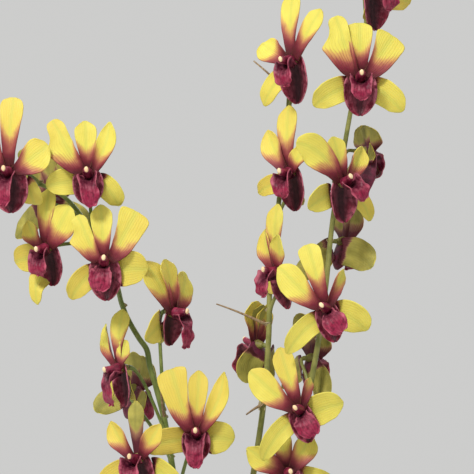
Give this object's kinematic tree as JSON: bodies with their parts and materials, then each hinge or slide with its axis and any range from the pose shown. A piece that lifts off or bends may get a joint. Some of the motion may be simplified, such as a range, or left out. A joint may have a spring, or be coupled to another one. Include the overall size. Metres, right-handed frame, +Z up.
{
  "type": "potted dendrobium orchid",
  "caption": "Dendrobium orchid in a plain clay pot of bark: leafy canes and arching sprays of yellow blooms with maroon throats and magenta lips.",
  "frame": {"origin": "middle of the pot's flat underside, on the surface it stands on", "axes": "+Z up along the plant, +X to the viewer's right and -Y towards the viewer, whom most of the blooms face"},
  "size_m": [0.3596, 0.3127, 0.9369],
  "materials": {
    "clay": "matt unglazed fired clay",
    "bark": "rough dry bark chips",
    "leafy_cane": "satin green leaf, cane with papery sheaths",
    "root": "matt spongy root skin with green tip",
    "flower_stem": "smooth green stem",
    "tepal": "waxy yellow, maroon towards the throat",
    "lip": "velvety rose magenta with a dark throat and a cream cap"
  },
  "bodies": {
    "root": {"bark": "bark", "bloom_left_1": "tepal", "bloom_left_10": "tepal", "bloom_left_2": "tepal", "bloom_left_3": "tepal", "bloom_left_4": "tepal", "bloom_left_5": "tepal", "bloom_left_6": "tepal", "bloom_left_7": "tepal", "bloom_left_8": "tepal", "bloom_left_9": "tepal", "bloom_middle_1": "tepal", "bloom_middle_2": "tepal", "bloom_middle_3": "tepal", "bloom_middle_4": "tepal", "bloom_right_1": "tepal", "bloom_right_2": "tepal", "bloom_right_3": "tepal", "bloom_right_4": "tepal", "bloom_right_5": "tepal", "bloom_right_6": "tepal", "bloom_right_7": "tepal", "bloom_right_8": "tepal", "bloom_right_9": "tepal", "cane_back": "leafy_cane", "cane_front": "leafy_cane", "cane_front_left": "leafy_cane", "cane_front_right": "leafy_cane", "cane_left": "leafy_cane", "cane_middle": "leafy_cane", "cane_right": "leafy_cane", "lip_left_1": "lip", "lip_left_10": "lip", "lip_left_2": "lip", "lip_left_3": "lip", "lip_left_4": "lip", "lip_left_5": "lip", "lip_left_6": "lip", "lip_left_7": "lip", "lip_left_8": "lip", "lip_left_9": "lip", "lip_middle_1": "lip", "lip_middle_2": "lip", "lip_middle_3": "lip", "lip_middle_4": "lip", "lip_right_1": "lip", "lip_right_2": "lip", "lip_right_3": "lip", "lip_right_4": "lip", "lip_right_5": "lip", "lip_right_6": "lip", "lip_right_7": "lip", "lip_right_8": "lip", "lip_right_9": "lip", "pot": "clay", "root_1": "root", "root_2": "root", "stem_left": "flower_stem", "stem_middle": "flower_stem", "stem_right": "flower_stem"}
  },
  "joints": []
}
